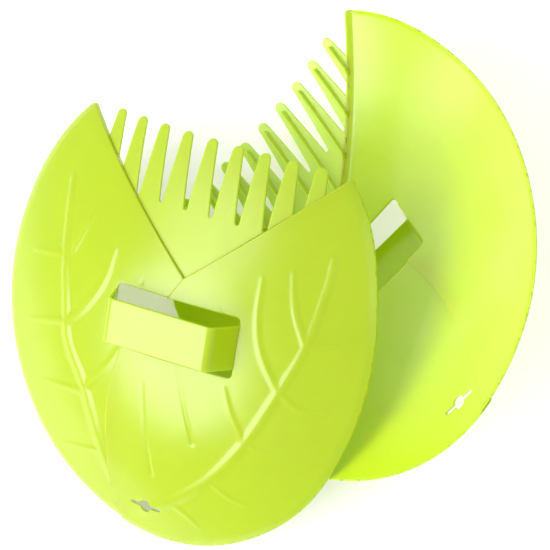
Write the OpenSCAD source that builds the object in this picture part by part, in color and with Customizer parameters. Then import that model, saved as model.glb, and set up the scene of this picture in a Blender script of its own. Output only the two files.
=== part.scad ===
// Pair of leaf grabber hands: two identical domed scoops, each with a toothed front edge and a hand strap.
// Each hand is drawn once, in its own frame: x across the palm, y from heel to tines, z out of the back.
// The pair lies on a flat surface: one hand with its hollow up, the other leaning over its rim.

/* [Shell] */
// Outer radius of the dome that both leaves follow
dome_r = 446; // [420:2:480]
// How far the dome's crown lies from the hand window, towards the heel
crown_offset = 6; // [0:1:12]
// Wall of each leaf
wall = 2.4; // [1.8:0.1:2.8]
// Width of the lap where one piece covers the next
lap_w = 11; // [8:1:12]

/* [Outline] */
// Reach of the rim from the palm centre, at equal angles from left wing tip to right wing tip
rim_reach = [211.5, 196, 191, 196, 199.5, 186, 170.5, 172.5, 192];
// Angle of the left wing tip, measured from the heel
left_tip_angle = -139; // [-142:1:-134]
// Angle of the right wing tip, measured from the heel
right_tip_angle = 142; // [134:1:144]
// Depth of the notch: height of its vertex above the palm centre
notch_y = 44; // [42:1:50]
// Angle at which the lap seam meets the rim at the heel
seam_angle = -13; // [-16:1:-8]
// How far the seam bows away from a straight line
seam_bow = 25; // [10:1:30]

/* [Hand window and strap] */
// Length of the window across the palm
window_w = 120; // [110:1:124]
// Width of the window along the palm
window_h = 52; // [46:1:54]
// Corner radius of the window
window_r = 4; // [2:0.5:8]
// Height of the strap's outer face above the dome at the window
strap_rise = 24; // [20:1:32]
// Width of the strap
strap_w = 38; // [30:1:42]
// Thickness of the strap
strap_t = 3; // [2.5:0.1:3.5]
// Length of the strap's flat top
strap_top = 94; // [80:1:98]
// How far each strap foot reaches under the shell
foot_reach = 12; // [8:1:14]

/* [Rake] */
// Number of tines
tine_count = 9; // [7:1:9]
// Distance between neighbouring tines
tine_pitch = 24.6; // [22:0.2:25]
// Place of the first tine's tip across the palm
first_tine_x = -105; // [-106:1:-98]
// Height of the first tine's tip above the palm centre
first_tine_y = 161; // [156:1:164]
// How much lower each next tip sits
tine_step = 0.7; // [0:0.1:1]
// Lean of the tines towards the left wing, in degrees
tine_lean = 5.5; // [0:0.5:8]
// Length of a tine from the root of its gaps
tine_len = 59; // [50:1:62]
// Width of a tine at its rounded tip
tine_tip_w = 10; // [8:0.5:12]
// Gap between two tines at their roots
root_gap = 6; // [5:0.5:8]
// Height of the stiffening rib on the inner face of each tine
rib_h = 4.5; // [2:0.5:6]
// Thickness of that rib
rib_t = 2.6; // [2:0.1:3.5]

/* [Hanging hole] */
// Place of the hole across the palm
hang_x = -16; // [-18:1:-10]
// Place of the hole along the palm
hang_y = -170; // [-174:1:-160]
// Radius of its round middle
hang_r = 5.5; // [5:0.1:6]
// Length of the slot that crosses it
hang_slot_w = 30; // [24:1:32]
// Width of that slot
hang_slot_h = 3.4; // [2.5:0.1:3.6]

/* [Hidden] */

$fn = 64;
lime = "#c6e516";
light_lime = "#d4f02c";
cut_low = -150;      // every plan shape is cut through the dome from here
cut_high = 60;       // to here
arc_step = 3;        // degrees between rim points

front_pos = [-68.9, -48.7, 123.85];
front_rot = [20.5, -12.2, -18.2];
rear_pos = [83.3, 11.3, 42.15];
rear_rot = [-161.8, 18.4, -140.6];

left_tip = rim_point(left_tip_angle);
right_tip = rim_point(right_tip_angle);
notch = [2, notch_y];
window_y = -1;                                   // centre of the window along the palm
window_top = window_y + window_h / 2;
window_bottom = window_y - window_h / 2;
edge_at_window = [-11, window_top - 4];          // the upper leaf's edge runs into the window here
seam_start = [-window_w / 2 + 14, window_bottom + 4];
seam_end = rim_point(seam_angle);
lap_angle = lap_w / 3.5;                         // the same lap as an angle at the rim
gap_r = root_gap / 2;
rake_t = wall;
rake_lap = 8;                                    // how far the rake plate reaches under the wings
root_margin = 7;                                 // least plate showing between a gap and the wings' edges

// Catmull-Rom blend of four values
function blend(a, b, c, d, t) =
    0.5 * (2 * b + (c - a) * t + (2 * a - 5 * b + 4 * c - d) * t * t + (3 * b - a - 3 * c + d) * t * t * t);
function reach_at(i) = rim_reach[min(max(i, 0), len(rim_reach) - 1)];
function reach(u) = let (i = floor(u)) blend(reach_at(i - 1), reach_at(i), reach_at(i + 1), reach_at(i + 2), u - i);
function rim_point(a) =
    let (u = (a - left_tip_angle) / (right_tip_angle - left_tip_angle) * (len(rim_reach) - 1))
    reach(u) * [sin(a), -cos(a)];
function rim(a0, a1) =
    let (n = ceil((a1 - a0) / arc_step)) [for (i = [0:n]) rim_point(a0 + (a1 - a0) * i / n)];
// Quadratic curve from p to r, bowed sideways by a distance
function bow(p, r, d, n = 8) =
    let (side = [p.y - r.y, r.x - p.x] / norm(r - p), q = (p + r) / 2 + 2 * d * side)
    [for (i = [0:n]) let (t = i / n) (1 - t) * (1 - t) * p + 2 * t * (1 - t) * q + t * t * r];
function moved(points, v) = [for (p = points) p + v];
function corner(x, y, r, a) = [for (i = [0:6]) [x + r * cos(a + 15 * i), y + r * sin(a + 15 * i)]];
function rounded_box(w, h, r) = concat(
    corner(w / 2 - r, h / 2 - r, r, 0), corner(r - w / 2, h / 2 - r, r, 90),
    corner(r - w / 2, r - h / 2, r, 180), corner(w / 2 - r, r - h / 2, r, 270));

seam = bow(seam_end, seam_start, seam_bow / 2);
left_edge = bow(left_tip, notch, 1);
right_edge = bow(right_tip, notch, 2);

// Skin of the dome, from one depth below its outer face to another
module skin(top, bottom) {
    translate([0, -crown_offset, -dome_r]) difference() {
        sphere(r = dome_r - top);
        sphere(r = dome_r - bottom);
    }
}

// Part of a skin under a flat outline
module panel(top, bottom) {
    intersection() {
        skin(top, bottom);
        translate([0, 0, cut_low]) linear_extrude(cut_high - cut_low) children();
    }
}

module window_shape() {
    translate([0, window_y]) polygon(rounded_box(window_w, window_h, window_r));
}

// Places a cutter on the dome's surface, with its axis along the dome's radius
module on_dome(x, y) {
    tilt_x = -asin((y + crown_offset) / dome_r);
    tilt_y = asin(x / (dome_r * cos(tilt_x)));
    translate([0, -crown_offset, -dome_r]) rotate([tilt_x, tilt_y, 0]) translate([0, 0, dome_r]) children();
}

module hang_hole() {
    on_dome(hang_x, hang_y) {
        cylinder(r = hang_r, h = 20, center = true);
        cube([hang_slot_w - hang_slot_h, hang_slot_h, 20], center = true);
        for (side = [-1, 1]) translate([side * (hang_slot_w - hang_slot_h) / 2, 0, 0])
            cylinder(d = hang_slot_h, h = 20, center = true);
    }
}

// Left wing of the shell, lying under the right one along the seam
module under_leaf() {
    color(lime) panel(wall, 2 * wall) difference() {
        polygon(concat(
            rim(left_tip_angle, seam_angle + lap_angle),
            moved(seam, [lap_w, 0]),
            [[2, window_top - 4], [notch.x + lap_w, notch.y - 2]],
            [for (i = [len(left_edge) - 1:-1:1]) left_edge[i]]));
        window_shape();
    }
}

// Right wing of the shell, with the hanging hole at its heel
module over_leaf() {
    color(lime) difference() {
        panel(0, wall) difference() {
            polygon(concat(
                rim(seam_angle, right_tip_angle),
                [for (i = [1:len(right_edge) - 1]) right_edge[i]],
                [edge_at_window],
                [for (i = [len(seam) - 1:-1:1]) seam[i]]));
            window_shape();
        }
        hang_hole();
    }
}

function tip_of(i) = [first_tine_x + i * tine_pitch, first_tine_y - i * tine_step];
function along(i, d) = tip_of(i) + d * [sin(tine_lean), -cos(tine_lean)];
function arc(c, r, a0, a1, n = 8) = [for (i = [0:n]) let (a = a0 + (a1 - a0) * i / n) c + r * [cos(a), sin(a)]];
// Height of the wings' edges above the palm, at a distance across it
function edge_y(x) = x < notch.x
    ? notch.y + (left_tip.y - notch.y) * (notch.x - x) / (notch.x - left_tip.x)
    : notch.y + (right_tip.y - notch.y) * (x - notch.x) / (right_tip.x - notch.x);

// Outline of the plate and its tines: each tine has a round tip, each gap a round root
function gap_root(i) =
    let (p = (along(i, tine_len) + along(i + 1, tine_len)) / 2)
    [p.x, max(p.y, edge_y(p.x) + root_margin)];
function tine_outline(i) = concat(
    arc(along(i, tine_tip_w / 2), tine_tip_w / 2, 180, 0),
    i < tine_count - 1 ? arc(gap_root(i), gap_r, 180, 360) : []);
rake_outline = concat(
    [along(0, tine_len) - [tine_pitch / 2, 0]],
    [for (i = [0:tine_count - 1]) each tine_outline(i)],
    [along(tine_count - 1, tine_len) + [tine_pitch / 2, 0], notch + [0, -30]]);

// Everything ahead of the wings' edges, and a margin under them
module ahead_of_wings(margin) {
    polygon([
        [-170, edge_y(-170) - margin], notch - [0, margin],
        [150, edge_y(150) - margin], [150, 200], [-170, 200]]);
}

// Bar in plan from one distance to another along a tine
module rib_plan(i) {
    translate(along(i, tine_tip_w)) rotate(tine_lean)
        translate([-rib_t / 2, -130]) square([rib_t, 130]);
}

// Plate with the tines, under both wings; a rib runs along the inner face of each tine
module rake() {
    color(light_lime) {
        panel(2 * wall, 2 * wall + rake_t) intersection() {
            polygon(rake_outline);
            ahead_of_wings(rake_lap);
        }
        for (i = [0:tine_count - 1])
            panel(2 * wall + rake_t - 0.5, 2 * wall + rake_t + rib_h) intersection() {
                rib_plan(i);
                ahead_of_wings(rake_lap / 2);
            }
        // pad that fills the step up to the upper leaf
        panel(wall, 2 * wall + 0.5) polygon([
            [22, edge_y(22) - rake_lap], [88, edge_y(88) - rake_lap], [88, edge_y(88) - 4], [22, edge_y(22) - 1]]);
    }
}

// Strap that holds the hand against the shell: flat top, splayed legs, feet tucked under the window's ends
module strap() {
    leg_x = window_w / 2 - 0.2;
    top_x = strap_top / 2;
    foot_z = -12;
    color(light_lime) {
        rotate([90, 0, 0]) linear_extrude(strap_w, center = true) difference() {
            polygon([[-leg_x, foot_z], [-top_x, strap_rise], [top_x, strap_rise], [leg_x, foot_z]]);
            polygon([[strap_t - leg_x, foot_z - 1], [strap_t - top_x, strap_rise - strap_t],
                     [top_x - strap_t, strap_rise - strap_t], [leg_x - strap_t, foot_z - 1]]);
        }
        panel(2 * wall, 3 * wall) translate([-window_w / 2 - foot_reach, -strap_w / 2])
            square([foot_reach + strap_t, strap_w]);
        panel(wall, 2 * wall) translate([window_w / 2 - strap_t, -strap_w / 2])
            square([foot_reach + strap_t, strap_w]);
    }
}

module hand_front() { translate(front_pos) rotate(front_rot) children(); }
module hand_rear() { translate(rear_pos) rotate(rear_rot) children(); }

hand_front() under_leaf();  // front_under_leaf
hand_front() over_leaf();  // front_over_leaf
hand_front() rake();  // front_rake
hand_front() strap();  // front_strap
hand_rear() under_leaf();  // rear_under_leaf
hand_rear() over_leaf();  // rear_over_leaf
hand_rear() rake();  // rear_rake
hand_rear() strap();  // rear_strap
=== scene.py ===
"""Looks of the pair of leaf grabber hands: moulded pieces, plastic, light and camera.

Each piece is drawn once in the hand's own frame, in millimetres (x across the palm, y towards the tines,
z out of the back), bent onto the dome, and then placed for the front and the rear hand.
"""

import math

import bpy
import numpy as np
from mathutils import Matrix, Vector
from mathutils.geometry import delaunay_2d_cdt


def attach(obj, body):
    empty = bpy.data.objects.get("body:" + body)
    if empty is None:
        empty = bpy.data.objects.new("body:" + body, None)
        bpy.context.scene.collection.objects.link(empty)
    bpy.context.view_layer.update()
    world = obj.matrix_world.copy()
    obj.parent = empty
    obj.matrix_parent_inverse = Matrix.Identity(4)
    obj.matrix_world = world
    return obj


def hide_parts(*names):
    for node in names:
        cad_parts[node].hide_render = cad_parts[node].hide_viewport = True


# ---- sizes in millimetres and angles in degrees, as in the CAD part unless a comment says otherwise ----
# Shell
DOME_R = 446.0              # outer radius of the dome that both leaves follow
CROWN_OFFSET = 6.0          # how far the dome's crown lies from the palm centre, towards the heel
WALL = 2.4
LAP = 11.0                  # how far the right leaf covers the left one along the seam

# Outline, with angles measured from the heel
LEFT_TIP_ANGLE = -139.0
RIGHT_TIP_ANGLE = 142.0
# Reach of the rim from the palm centre, at equal angles from the left wing tip to the right one
RIM_REACH = [211.5, 196, 191, 196, 199.5, 186, 170.5, 172.5, 192]
NOTCH = np.array([2.0, 44.0])
LEFT_EDGE_BOW = 1.0
RIGHT_EDGE_BOW = 2.0
EDGE_AT_WINDOW_X = -11.0    # the right leaf's edge runs on from the notch into the window here
SEAM_ANGLE = -13.0
SEAM_BOW = 12.5             # how far the seam stands off a straight line
SEAM_INSET = 14.0           # the seam ends this far from the window's left end
WINDOW_MARGIN = 4.0         # leaf edges run this far into the window
LAP_DROP = 2.0              # how far below the notch the left leaf's hidden corner lies
RIM_PER_DEGREE = 3.5        # length of rim that one degree takes up, near the seam

# Hand window and strap
WINDOW_W = 120.0
WINDOW_H = 52.0
WINDOW_R = 4.0
WINDOW_Y = -1.0
STRAP_RISE = 24.0
STRAP_W = 38.0
STRAP_T = 3.0
STRAP_TOP = 99.0            # length of the flat top: 94 in the CAD part
STRAP_END_Z = -7.4          # the legs end here, where the CAD part's strap goes on into feet
STRAP_BITE = 0.4            # the legs run this far into the window's ends: the CAD part's stop 0.2 short

# Rake
TINES = 9
TINE_PITCH = 24.6
TINE_LEN = 59.0
TINE_TIP_W = 10.0
FIRST_TIP = np.array([-105.0, 161.0])
TIP_STEP = 0.7              # how much lower each next tip sits
LEAN = math.radians(5.5)    # of the tines, towards the left wing
GAP_R = 1.8                 # round root of the gap between two tines: 3 in the CAD part
RAKE_LAP = 2.5              # how far the plate reaches under the wings: 8 in the CAD part
RIB_H = 4.5
RIB_T = 2.6
RIB_FOOT = 0.65 * RIB_T     # distance from a rib's middle where it starts to rise
RIB_CREST = 0.2 * RIB_T     # and where it has its full height
RIB_REACH = 1.6             # a rib runs on past its tine, to this many times the tine's length

# Hanging hole: a round hole crossed by a slot
HANG = np.array([-16.0, -170.0])
HANG_R = 5.5
SLOT_W = 30.0
SLOT_H = 3.4

# Places of the hands: position, then turns about x, y and z
PLACES = {
    "front": ((-68.9, -48.7, 123.85), (20.5, -12.2, -18.2)),
    "rear": ((83.3, 11.3, 42.15), (-161.8, 18.4, -140.6)),
}

# ---- mould detail, which the CAD part leaves out ----
EDGE_R = 0.8                # rounding of every cut edge
RIM_LIP = 0.6               # how far the rim's lip stands in from the wall
RIM_LIP_W = 3.2
WING_LIP_DEPTH = 7.6        # the lips of the wings' front edges reach this far below the dome's outer face
WING_LIP_W = 7.5
RIM_ROLL = 1.1              # how far the back rolls over towards the rim
RIM_ROLL_W = 6.5
TIP_BLUNT = 4.5             # a wing's tip is rounded within this distance
STRAP_BEND = 4.5            # length of leg and top that each rounded shoulder takes up
STRAP_EDGE_R = 1.1

# Raised veins (and sunken palm lines): points along each, width, height
LEFT_VEINS = [
    ([(-53, -152), (-63, -132), (-84, -78), (-107, -42), (-115, -7), (-124, 31), (-135, 95)], 20, 1.3),
    ([(-84, -78), (-61, -51), (-47, -28)], 14, 1.0),
    ([(-112, -27), (-91, -5), (-75, 23), (-70, 51)], 14, 1.0),
    ([(-115, 38), (-99, 74)], 11, 0.8),
    ([(-124, 31), (-164, 24)], 11, 0.8),
    ([(-112, -25), (-158, -38)], 11, 0.8),
    ([(-88, -82), (-133, -88)], 11, 0.8),
    ([(-63, -132), (-107, -141)], 11, 0.8),
]
RIGHT_VEINS = [
    ([(-16, -176), (17, -151), (47, -124), (77, -81), (101, -29), (117, 14), (124, 63), (124, 88)], 17, 1.1),
    ([(117, 14), (103, 41), (95, 70)], 11, 0.8),
    ([(101, -29), (83, -2), (74, 26), (71, 60)], 11, 0.8),
    ([(77, -81), (63, -57), (55, -36)], 11, 0.8),
    ([(117, 14), (141, 19)], 10, 0.7),
    ([(101, -29), (121, -41), (141, -38)], 10, 0.7),
    ([(77, -81), (92, -85), (104, -84)], 10, 0.7),
    ([(47, -124), (65, -135), (82, -139)], 10, 0.7),
    ([(12, -159), (26, -166), (36, -174)], 10, 0.7),
    ([(-8, -136), (-16, -94), (-21, -53)], 5, -0.9),
    ([(31, -94), (20, -60), (11, -28)], 5, -0.9),
]
# Short marks left by the mould above the window
LEFT_MARKS = [([(-37, 33), (-36, 25)], 2.6, -0.5)]
RIGHT_MARKS = [([(43, 30), (45, 24)], 2.6, -0.5)]
VEIN_NARROWING = 0.45       # share of its width that a line loses by its far end
VEIN_SINKING = 0.35         # share of its height that it loses there
VEIN_FADE_START = 3.0       # lines have faded out this close to the rim
VEIN_FADE_END = 12.0        # and are whole from here on

# ---- meshing ----
GRID = 1.9                  # spacing of the leaves' mesh
EDGE_ROWS = (1.3, 2.7, 4.2, 5.8)    # distances from an edge of the rows of points that follow it
RAKE_GRID = 1.0
RAKE_ROWS = (1.0,)
ROW_CLEARANCE = 0.93        # share of its distance that a row's points keep from every edge
INNER_CLEARANCE = 0.6       # distance between the last row and the even mesh, in grid steps
ROW_PITCH = 0.87            # distance between two rows of the even mesh, in grid steps
LONGEST_SIDE = 4            # triangles with a longer side, in grid steps, only bridge two parts of an edge
SAME_POINT = 1e-4           # points nearer to each other than this are one
NO_AREA = 1e-6              # triangles whose doubled area is less than this are left out
TINY = 1e-12                # stands in for a length of nothing where it divides
ROUNDING_MIDDLE = 0.3       # where the middle ring of a rounded edge lies, as a share of its radius
RIM_TURN = 0.6              # about the turn between two points of the rim, in degrees
OUTLINE_STEP = 1.0          # distance between points where an outline is clipped or blunted
STRAP_STEP = 3.0            # distance between sections of the strap

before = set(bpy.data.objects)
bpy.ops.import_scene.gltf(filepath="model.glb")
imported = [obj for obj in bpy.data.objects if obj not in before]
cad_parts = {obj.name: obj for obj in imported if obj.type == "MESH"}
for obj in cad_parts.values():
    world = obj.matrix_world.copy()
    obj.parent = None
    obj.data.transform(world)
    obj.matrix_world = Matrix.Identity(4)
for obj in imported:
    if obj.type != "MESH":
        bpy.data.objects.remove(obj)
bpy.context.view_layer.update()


# ---- curves and outlines in the plan ----
def blend(a, b, c, d, t):
    """Catmull-Rom curve between b and c, with a and d as their neighbours."""
    return 0.5 * (2 * b + (c - a) * t + (2 * a - 5 * b + 4 * c - d) * t**2 + (3 * b - a - 3 * c + d) * t**3)


def smoothed(path, steps=8):
    """Catmull-Rom curve through the points of a path."""
    points = [np.array(p, float) for p in path]
    ends = [2 * points[0] - points[1]] + points + [2 * points[-1] - points[-2]]
    spans = zip(ends, ends[1:], ends[2:], ends[3:])
    return [blend(*span, t) for span in spans for t in np.arange(steps) / steps] + [points[-1]]


def curve(p, q, r, steps):
    """Quadratic curve from p to r that is drawn towards q."""
    return [(1 - t) ** 2 * p + 2 * t * (1 - t) * q + t * t * r for t in np.linspace(0, 1, steps)]


def bow(p, r, bulge, steps=40):
    """Curve from p to r that stands off the straight line by a bulge."""
    side = np.array([p[1] - r[1], r[0] - p[0]]) / np.linalg.norm(r - p)
    return curve(p, (p + r) / 2 + 2 * bulge * side, r, steps)


def arc(centre, radius, start, end, steps=10):
    """Points of a circle from one angle to another, in degrees."""
    turns = np.radians(np.linspace(start, end, steps))
    return [np.array(centre) + radius * np.array([math.cos(a), math.sin(a)]) for a in turns]


def rounded_box(centre, width, height, radius):
    x, y = width / 2 - radius, height / 2 - radius
    corners = [((x, y), 0), ((-x, y), 90), ((-x, -y), 180), ((x, -y), 270)]
    return [p for c, a in corners for p in arc(np.array(centre) + c, radius, a, a + 90)]


def rim_point(angle):
    """Point of the rim at an angle from the heel: the reaches, blended."""
    last = len(RIM_REACH) - 1
    u = (angle - LEFT_TIP_ANGLE) / (RIGHT_TIP_ANGLE - LEFT_TIP_ANGLE) * last
    i = math.floor(u)
    reach = blend(*(RIM_REACH[min(max(k, 0), last)] for k in range(i - 1, i + 3)), u - i)
    turn = math.radians(angle)
    return np.array([reach * math.sin(turn), -reach * math.cos(turn)])


def rim(start, end):
    return [rim_point(a) for a in np.linspace(start, end, int((end - start) / RIM_TURN) + 1)]


def hang_hole_outline():
    """Round hole whose sides open into a slot with round ends."""
    meet = math.degrees(math.asin(SLOT_H / 2 / HANG_R))
    end = (SLOT_W - SLOT_H) / 2
    return (
        arc(HANG + [end, 0], SLOT_H / 2, -90, 90)
        + arc(HANG, HANG_R, meet, 180 - meet, 16)
        + arc(HANG - [end, 0], SLOT_H / 2, 90, 270)
        + arc(HANG, HANG_R, 180 + meet, 360 - meet, 16)
    )


def resampled(loop, step, closed=True):
    """The same path with points no further apart than step."""
    points = [np.array(p, float) for p in loop]
    ends = points[1:] + points[:1] if closed else points[1:]
    out = []
    for a, b in zip(points, ends):
        n = max(1, math.ceil(np.linalg.norm(b - a) / step))
        out += [a + (b - a) * i / n for i in range(n)]
    return out if closed else out + [points[-1]]


def blunted(outline, tip):
    """The closed outline with its sharp corner at tip rounded off."""
    loop = resampled(outline, OUTLINE_STEP)
    near = [np.linalg.norm(p - tip) < TIP_BLUNT for p in loop]
    first = next(i for i in range(len(loop)) if near[i - 1] and not near[i])
    loop = loop[first:] + loop[:first]
    kept = [p for p in loop if np.linalg.norm(p - tip) >= TIP_BLUNT]
    return kept + curve(kept[-1], tip, kept[0], steps=8)[1:-1]


def inside(points, loop):
    """Which points lie inside a closed loop."""
    x, y = points[:, 0], points[:, 1]
    hit = np.zeros(len(points), bool)
    for a, b in zip(loop, loop[1:] + loop[:1]):
        if a[1] == b[1]:
            continue
        crosses = (a[1] > y) != (b[1] > y)
        hit ^= crosses & (x < (b[0] - a[0]) * (y - a[1]) / (b[1] - a[1]) + a[0])
    return hit


def distance(points, path, closed=False):
    """Distance of each point from a path, and how far along it the nearest place is, from 0 to 1."""
    ends = path[1:] + path[:1] if closed else path[1:]
    best = np.full(len(points), np.inf)
    along = np.zeros(len(points))
    for i, (a, b) in enumerate(zip(path, ends)):
        a, b = np.array(a, float), np.array(b, float)
        d = b - a
        t = np.clip((points - a) @ d / max(d @ d, TINY), 0, 1)
        gap = np.linalg.norm(points - a - t[:, None] * d, axis=1)
        near = gap < best
        best[near] = gap[near]
        along[near] = (i + t[near]) / len(ends)
    return best, along


# ---- sheets of plastic bent onto the dome ----
def on_dome(points, depth):
    """Plan points set onto the dome at a depth below its outer face."""
    r = DOME_R - depth
    z = np.sqrt(r**2 - points[:, 0] ** 2 - (points[:, 1] + CROWN_OFFSET) ** 2) - DOME_R
    return np.column_stack([points, z])


def seeds_of(loops, rows, grid):
    """Points that follow the edges in rows, and an even mesh of points further in."""
    seeds = []
    for loop in loops:
        around = np.array(loop)
        along = np.roll(around, -1, 0) - np.roll(around, 1, 0)
        side = np.column_stack([-along[:, 1], along[:, 0]]) / np.linalg.norm(along, axis=1)[:, None]
        seeds += [(around + side * row * way, row * ROW_CLEARANCE) for row in rows for way in (1, -1)]
    low, high = np.min(loops[0], 0), np.max(loops[0], 0)
    xs = np.arange(low[0], high[0], grid)
    ys = np.arange(low[1], high[1], grid * ROW_PITCH)
    mesh = np.array([(x + grid / 2 * (j % 2), y) for j, y in enumerate(ys) for x in xs])
    seeds.append((mesh, max(rows) + grid * INNER_CLEARANCE))
    kept = []
    for points, clear in seeds:
        gap = np.min([distance(points, loop, closed=True)[0] for loop in loops], axis=0)
        kept.append(points[(gap > clear) & inside(points, loops[0])])
    return list(np.vstack(kept))


def triangles_of(outline, cutouts, rows, grid):
    """Plan mesh of an outline without its cutouts: points, triangles."""
    loops = [resampled(loop, grid) for loop in [outline] + cutouts]
    points = [p for loop in loops for p in loop] + seeds_of(loops, rows, grid)
    edges, start = [], 0
    for loop in loops:
        edges += [(start + i, start + (i + 1) % len(loop)) for i in range(len(loop))]
        start += len(loop)
    flat, _, faces, _, _, _ = delaunay_2d_cdt([Vector(p) for p in points], edges, [], 0, SAME_POINT)
    flat = np.array([tuple(v) for v in flat])
    faces = np.array(faces)
    middle = flat[faces].mean(axis=1)
    keep = inside(middle, loops[0])
    for loop in loops[1:]:
        keep &= ~inside(middle, loop)
    faces = faces[keep]
    a, b, c = flat[faces[:, 0]], flat[faces[:, 1]], flat[faces[:, 2]]
    turn = (b[:, 0] - a[:, 0]) * (c[:, 1] - a[:, 1]) - (b[:, 1] - a[:, 1]) * (c[:, 0] - a[:, 0])
    faces[turn < 0] = faces[turn < 0][:, ::-1]
    sides = np.linalg.norm(flat[faces] - flat[np.roll(faces, 1, axis=1)], axis=2)
    faces = faces[(np.abs(turn) > NO_AREA) & (sides.max(axis=1) < LONGEST_SIDE * grid)]
    used = np.unique(faces)
    number = np.zeros(len(flat), int)
    number[used] = np.arange(len(used))
    return flat[used], number[faces]


def sheet_mesh(outline, cutouts, top, bottom, outer, inner, rows=EDGE_ROWS, grid=GRID):
    """Closed shell between two depths, with rounded edges.

    outer and inner give how far its two faces stand out from those depths.
    """
    flat, faces = triangles_of(outline, cutouts, rows, grid)
    n = len(flat)
    sides = np.vstack([faces[:, [0, 1]], faces[:, [1, 2]], faces[:, [2, 0]]])
    # sides that belong to one triangle only run along the border
    known = {(a, b) for a, b in sides.tolist()}
    border = [(a, b) for a, b in known if (b, a) not in known]
    ring = sorted({a for a, _ in border} | {b for _, b in border})
    at = {v: i for i, v in enumerate(ring)}
    inward = np.zeros((n, 2))
    for a, b in border:
        d = flat[b] - flat[a]
        side = np.array([-d[1], d[0]]) / max(np.linalg.norm(d), TINY)
        inward[a] += side
        inward[b] += side
    size = np.linalg.norm(inward, axis=1)
    inward[size > 0] *= EDGE_R / size[size > 0][:, None]
    edge = flat[ring]
    middle_of_rounding = edge + inward[ring] * ROUNDING_MIDDLE
    high, low = top - outer(flat), bottom + inner(flat)
    points = np.vstack([
        on_dome(flat + inward, high),
        on_dome(flat + inward, low),
        on_dome(middle_of_rounding, high[ring] + EDGE_R * ROUNDING_MIDDLE),
        on_dome(edge, high[ring] + EDGE_R),
        on_dome(edge, low[ring] - EDGE_R),
        on_dome(middle_of_rounding, low[ring] - EDGE_R * ROUNDING_MIDDLE),
    ])
    m = len(ring)
    polygons = faces.tolist() + (faces[:, ::-1] + n).tolist()
    for a, b in border:
        i, j = at[a], at[b]
        levels = [(a, b)] + [(2 * n + k * m + i, 2 * n + k * m + j) for k in range(4)] + [(n + a, n + b)]
        polygons += [(q, p, r, s) for (p, q), (r, s) in zip(levels, levels[1:])]
    return points, polygons


# ---- relief of a sheet's faces ----
def soft_step(t):
    """From 0 to 1 without a corner at either end."""
    t = np.clip(t, 0, 1)
    return t * t * (3 - 2 * t)


def ridges(points, lines):
    """Height of raised (or sunken) lines that taper towards their far ends."""
    height = np.zeros(len(points))
    for path, width, rise in lines:
        gap, along = distance(points, smoothed(path))
        half = width / 2 * (1 - VEIN_NARROWING * along)
        bump = np.where(gap < half, 0.5 + 0.5 * np.cos(np.pi * np.minimum(gap / half, 1)), 0)
        bump *= rise * (1 - VEIN_SINKING * along)
        height = np.where(np.abs(bump) > np.abs(height), bump, height)
    coarse_rim = rim(LEFT_TIP_ANGLE, RIGHT_TIP_ANGLE)[::5]
    shore = distance(points, coarse_rim)[0]
    return height * np.clip((shore - VEIN_FADE_START) / (VEIN_FADE_END - VEIN_FADE_START), 0, 1)


def lip(points, path, width, rise):
    """Thickening along a path, with a soft foot."""
    return rise * soft_step(1 - distance(points, path)[0] / width)


# ---- pieces of one hand ----
left_tip = rim_point(LEFT_TIP_ANGLE)
right_tip = rim_point(RIGHT_TIP_ANGLE)
left_edge = bow(left_tip, NOTCH, LEFT_EDGE_BOW)
right_edge = bow(right_tip, NOTCH, RIGHT_EDGE_BOW)
under_window_top = WINDOW_Y + WINDOW_H / 2 - WINDOW_MARGIN
over_window_bottom = WINDOW_Y - WINDOW_H / 2 + WINDOW_MARGIN
edge_at_window = np.array([EDGE_AT_WINDOW_X, under_window_top])
seam = bow(rim_point(SEAM_ANGLE), np.array([SEAM_INSET - WINDOW_W / 2, over_window_bottom]), SEAM_BOW)
window = rounded_box((0, WINDOW_Y), WINDOW_W, WINDOW_H, WINDOW_R)


def edge_y(x):
    """Height of the wings' front edges above the palm."""
    tip = left_tip if x < NOTCH[0] else right_tip
    return NOTCH[1] + (tip[1] - NOTCH[1]) * (x - NOTCH[0]) / (tip[0] - NOTCH[0])


def leaf(outline, cutouts, depth, shore, front_edge, lines):
    """Wing of the shell: lines and a rolled rim on its back, lips along rim and edge in its hollow."""
    wing_lip = WING_LIP_DEPTH - depth - WALL

    def back(points):
        return ridges(points, lines) - lip(points, shore, RIM_ROLL_W, RIM_ROLL)

    def hollow(points):
        return np.maximum(
            lip(points, shore, RIM_LIP_W, RIM_LIP),
            lip(points, front_edge, WING_LIP_W, wing_lip),
        )

    return sheet_mesh(outline, cutouts, depth, depth + WALL, back, hollow)


def under_leaf():
    """Left wing, which lies under the right one along the seam."""
    shore = rim(LEFT_TIP_ANGLE, SEAM_ANGLE + LAP / RIM_PER_DEGREE)
    outline = shore + [p + [LAP, 0] for p in seam]
    outline += [np.array([NOTCH[0], under_window_top]), NOTCH + [LAP, -LAP_DROP]] + left_edge[:0:-1]
    return leaf(blunted(outline, left_tip), [window], WALL, shore, left_edge, LEFT_VEINS + LEFT_MARKS)


def over_leaf():
    """Right wing, with the hanging hole at its heel."""
    shore = rim(SEAM_ANGLE, RIGHT_TIP_ANGLE)
    neck = bow(NOTCH, edge_at_window, bulge=0.0, steps=4)
    outline = blunted(shore + right_edge[1:] + neck[1:] + seam[:0:-1], right_tip)
    cutouts = [window, hang_hole_outline()]
    return leaf(outline, cutouts, 0, shore, right_edge, RIGHT_VEINS + RIGHT_MARKS)


def along_tine(i, d):
    """Point on a tine's centre line at a distance from its tip."""
    tip = FIRST_TIP + [i * TINE_PITCH, -i * TIP_STEP]
    return tip + d * np.array([math.sin(LEAN), -math.cos(LEAN)])


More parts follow.
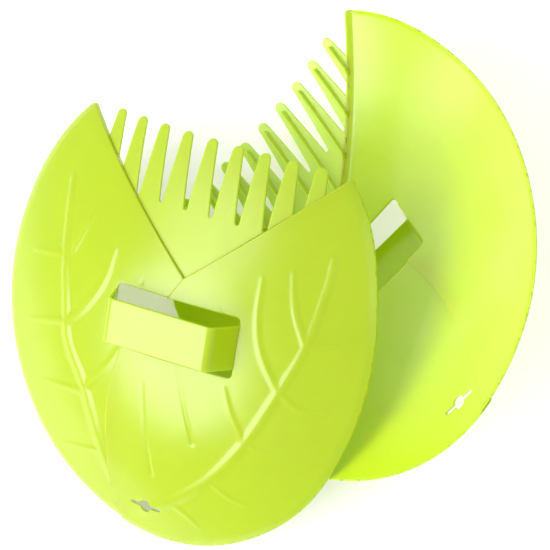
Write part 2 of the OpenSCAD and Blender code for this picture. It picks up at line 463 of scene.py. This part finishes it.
def rake():
    """Plate with round-tipped tines and a thin rib down the inner face of each."""
    outline = [along_tine(0, TINE_LEN) - [TINE_PITCH / 2, 0]]
    for i in range(TINES):
        outline += arc(along_tine(i, TINE_TIP_W / 2), TINE_TIP_W / 2, 180, 0)
        if i < TINES - 1:
            root = (along_tine(i, TINE_LEN) + along_tine(i + 1, TINE_LEN)) / 2
            outline += arc(root, GAP_R, 180, 360)
    outline += [along_tine(TINES - 1, TINE_LEN) + [TINE_PITCH / 2, 0], NOTCH - [0, RAKE_LAP]]
    clipped = [np.array([x, max(y, edge_y(x) - RAKE_LAP)]) for x, y in resampled(outline, OUTLINE_STEP)]
    ribs = [[along_tine(i, TINE_TIP_W), along_tine(i, TINE_LEN * RIB_REACH)] for i in range(TINES)]

    def outer(points):
        return np.zeros(len(points))

    def inner(points):
        gap = np.min([distance(points, rib)[0] for rib in ribs], axis=0)
        return RIB_H * soft_step((RIB_FOOT - gap) / (RIB_FOOT - RIB_CREST))

    return sheet_mesh(clipped, [], 2 * WALL, 3 * WALL, outer, inner, RAKE_ROWS, RAKE_GRID)


def strap():
    """Band swept along its bends: a flat top and two splayed legs that run into the window's ends."""
    leg_x = WINDOW_W / 2 + STRAP_BITE
    shoulder_x = STRAP_TOP / 2 - STRAP_T / 4
    shoulder_z = STRAP_RISE - STRAP_T / 2
    left_half = [(-leg_x, STRAP_END_Z), (-shoulder_x, shoulder_z)]
    right_half = [(shoulder_x, shoulder_z), (leg_x, STRAP_END_Z)]
    path = [np.array(p) for p in left_half + right_half]
    spine = [path[0]]
    for before, at, after in zip(path, path[1:], path[2:]):
        start = at + (before - at) / np.linalg.norm(before - at) * STRAP_BEND
        end = at + (after - at) / np.linalg.norm(after - at) * STRAP_BEND
        spine += curve(start, at, end, steps=9)
    spine = resampled(spine + [path[-1]], STRAP_STEP, closed=False)
    section = rounded_box((0, 0), STRAP_W, STRAP_T, STRAP_EDGE_R)
    points, polygons = [], []
    for i, p in enumerate(spine):
        along = spine[min(i + 1, len(spine) - 1)] - spine[max(i - 1, 0)]
        out = np.array([-along[1], along[0]]) / np.linalg.norm(along)
        for across, lift in section:
            x, z = p + out * lift
            points.append((x, across, z))
    m = len(section)
    for i in range(len(spine) - 1):
        for j in range(m):
            k = (j + 1) % m
            polygons.append((i * m + j, i * m + k, (i + 1) * m + k, (i + 1) * m + j))
    polygons.append(tuple(range(m - 1, -1, -1)))
    polygons.append(tuple(range(len(points) - m, len(points))))
    return np.array(points), polygons


# ---- plastic ----
def plastic(name, color, shade, roughness):
    """Glossy dyed polypropylene that light sinks into, with flow marks, a fine grain and soft ripples."""
    material = bpy.data.materials.new(name)
    material.use_nodes = True
    nodes, links = material.node_tree.nodes, material.node_tree.links
    bsdf = nodes["Principled BSDF"]
    place = nodes.new("ShaderNodeTexCoord")

    def noise(scale, detail, distortion=0.0):
        n = nodes.new("ShaderNodeTexNoise")
        n.inputs["Scale"].default_value = scale
        n.inputs["Detail"].default_value = detail
        n.inputs["Distortion"].default_value = distortion
        links.new(place.outputs["Object"], n.inputs["Vector"])
        return n.outputs["Fac"]

    def ramp(source, low, high, start, end):
        r = nodes.new("ShaderNodeMapRange")
        r.inputs["From Min"].default_value = low
        r.inputs["From Max"].default_value = high
        r.inputs["To Min"].default_value = start
        r.inputs["To Max"].default_value = end
        links.new(source, r.inputs["Value"])
        return r.outputs["Result"]

    def bump(source, strength, height):
        b = nodes.new("ShaderNodeBump")
        b.inputs["Strength"].default_value = strength
        b.inputs["Distance"].default_value = height
        links.new(source, b.inputs["Height"])
        return b

    flow = noise(scale=7.0, detail=3.0, distortion=1.4)
    mix = nodes.new("ShaderNodeMix")
    mix.data_type = "RGBA"
    mix.inputs["A"].default_value = (*color, 1)
    mix.inputs["B"].default_value = (*shade, 1)
    links.new(ramp(flow, low=0.35, high=0.7, start=0.0, end=0.55), mix.inputs["Factor"])
    links.new(mix.outputs["Result"], bsdf.inputs["Base Color"])
    rubbed = noise(scale=14.0, detail=2.0, distortion=0.3)
    gloss = ramp(rubbed, low=0.3, high=0.8, start=roughness, end=roughness + 0.08)
    links.new(gloss, bsdf.inputs["Roughness"])
    grain = bump(noise(scale=1400.0, detail=2.0), strength=0.12, height=0.0002)
    ripples = bump(noise(scale=55.0, detail=2.0), strength=0.05, height=0.0008)
    links.new(grain.outputs["Normal"], ripples.inputs["Normal"])
    links.new(ripples.outputs["Normal"], bsdf.inputs["Normal"])
    settings = {
        "IOR": 1.49,
        "Specular IOR Level": 0.68,
        "Subsurface Weight": 0.7,
        "Subsurface Radius": (0.55, 1.0, 0.02),
        "Subsurface Scale": 0.006,
    }
    for socket, value in settings.items():
        bsdf.inputs[socket].default_value = value
    return material


leaf_plastic = plastic(
    "lime leaf plastic", color=(0.445, 0.565, 0.0005), shade=(0.41, 0.54, 0.0005), roughness=0.18
)
rake_plastic = plastic(
    "light lime rake plastic", color=(0.475, 0.60, 0.02), shade=(0.45, 0.58, 0.015), roughness=0.26
)
strap_plastic = plastic(
    "lime strap plastic", color=(0.45, 0.585, 0.001), shade=(0.415, 0.555, 0.001), roughness=0.18
)


# ---- pieces of both hands ----
def placed(points, hand):
    """Millimetres in the hand's own frame to metres in the shared frame."""
    position, turns = PLACES[hand]
    a, b, c = (math.radians(t) for t in turns)
    turn = Matrix.Rotation(c, 3, "Z") @ Matrix.Rotation(b, 3, "Y") @ Matrix.Rotation(a, 3, "X")
    return (points @ np.array(turn).T + position) / 1000


def make(name, shape, material, hand):
    """One piece, riding on its hand's body."""
    points, polygons = shape
    mesh = bpy.data.meshes.new(name)
    mesh.from_pydata(placed(points, hand).tolist(), [], polygons)
    mesh.shade_smooth()
    mesh.materials.append(material)
    obj = bpy.data.objects.new(name, mesh)
    bpy.context.scene.collection.objects.link(obj)
    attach(obj, hand + "_hand")
    return obj


shapes = [
    ("under_leaf", under_leaf(), leaf_plastic, "leaf_plastic"),
    ("over_leaf", over_leaf(), leaf_plastic, "leaf_plastic"),
    ("rake", rake(), rake_plastic, "rake_plastic"),
    ("strap", strap(), strap_plastic, "strap_plastic"),
]
pieces = {hand: [] for hand in PLACES}
for hand in PLACES:
    for part, shape, material, slot in shapes:
        piece = make(hand + "_" + part + "_moulding", shape, material, hand)
        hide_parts(hand + "_" + part)
        pieces[hand].append(piece)


# ---- table, light and camera, in metres ----
TABLE_HALF = 6
CAMERA_PLACE = (0.3410, -0.2541, 1.8109)
CAMERA_RIGHT = (0.9823, 0.0001, -0.18732)
CAMERA_UP = (0.02681, 0.98965, 0.14101)
CAMERA_BACK = (0.18539, -0.14353, 0.97213)
CAMERA_LENS = 137.8
CAMERA_SENSOR = 36


def floor():
    """Pale table top."""
    material = bpy.data.materials.new("pale table")
    material.use_nodes = True
    bsdf = material.node_tree.nodes["Principled BSDF"]
    bsdf.inputs["Base Color"].default_value = (0.95, 0.95, 0.95, 1)
    bsdf.inputs["Roughness"].default_value = 0.7
    mesh = bpy.data.meshes.new("floor")
    corners = [(x * TABLE_HALF, y * TABLE_HALF, 0) for x, y in ((-1, -1), (1, -1), (1, 1), (-1, 1))]
    mesh.from_pydata(corners, [], [(0, 1, 2, 3)])
    mesh.materials.append(material)
    obj = bpy.data.objects.new("floor", mesh)
    bpy.context.scene.collection.objects.link(obj)
    return obj


def area_light(name, place, target, size, power):
    """Round softbox at a place, turned towards a target."""
    data = bpy.data.lights.new(name, "AREA")
    data.shape = "DISK"
    data.size = size
    data.energy = power
    light = bpy.data.objects.new(name, data)
    light.location = place
    light.rotation_euler = (Vector(target) - Vector(place)).to_track_quat("-Z", "Y").to_euler()
    bpy.context.scene.collection.objects.link(light)
    return light


def light_only(light, objects):
    """The light reaches these objects alone, and nothing else stands in its way."""
    group = bpy.data.collections.new(light.name + " receivers")
    for obj in objects:
        group.objects.link(obj)
    light.light_linking.receiver_collection = group
    light.light_linking.blocker_collection = group


def sky(strength):
    """Even white light from all round."""
    world = bpy.data.worlds.new("studio")
    world.use_nodes = True
    background = world.node_tree.nodes["Background"]
    background.inputs["Color"].default_value = (1, 1, 1, 1)
    background.inputs["Strength"].default_value = strength
    return world


def aimed_camera():
    """Camera nearly straight above the pair."""
    data = bpy.data.cameras.new("camera")
    data.sensor_width = CAMERA_SENSOR
    data.lens = CAMERA_LENS
    camera = bpy.data.objects.new("camera", data)
    turn = Matrix((CAMERA_RIGHT, CAMERA_UP, CAMERA_BACK)).transposed().to_4x4()
    camera.matrix_world = Matrix.Translation(CAMERA_PLACE) @ turn
    bpy.context.scene.collection.objects.link(camera)
    return camera


table = floor()
area_light("key", place=(-1.30, -0.74, 1.12), target=(-0.05, -0.03, 0.08), size=1.25, power=20)
area_light("top", place=(-1.00, 0.05, 1.50), target=(0.15, 0, 0.05), size=0.9, power=6)
area_light("fill", place=(0.95, -0.30, 1.60), target=(0.1, 0, 0.05), size=1.2, power=3)
# low softbox whose reflection spreads over the hollow of the rear hand, as it does in a studio
hollow_glow = area_light(
    "hollow glow", place=(-1.60, 0.30, 0.30), target=(0.15, 0.02, 0.06), size=1.2, power=15
)
light_only(hollow_glow, pieces["rear"])
# the table alone is lit until it is nearly white, like a paper sweep
sweep = area_light("sweep", place=(0, 0, 3), target=(0, 0, 0), size=4, power=45)
light_only(sweep, [table])
bpy.context.scene.world = sky(0.74)
bpy.context.scene.view_settings.view_transform = "Standard"
bpy.context.scene.camera = aimed_camera()
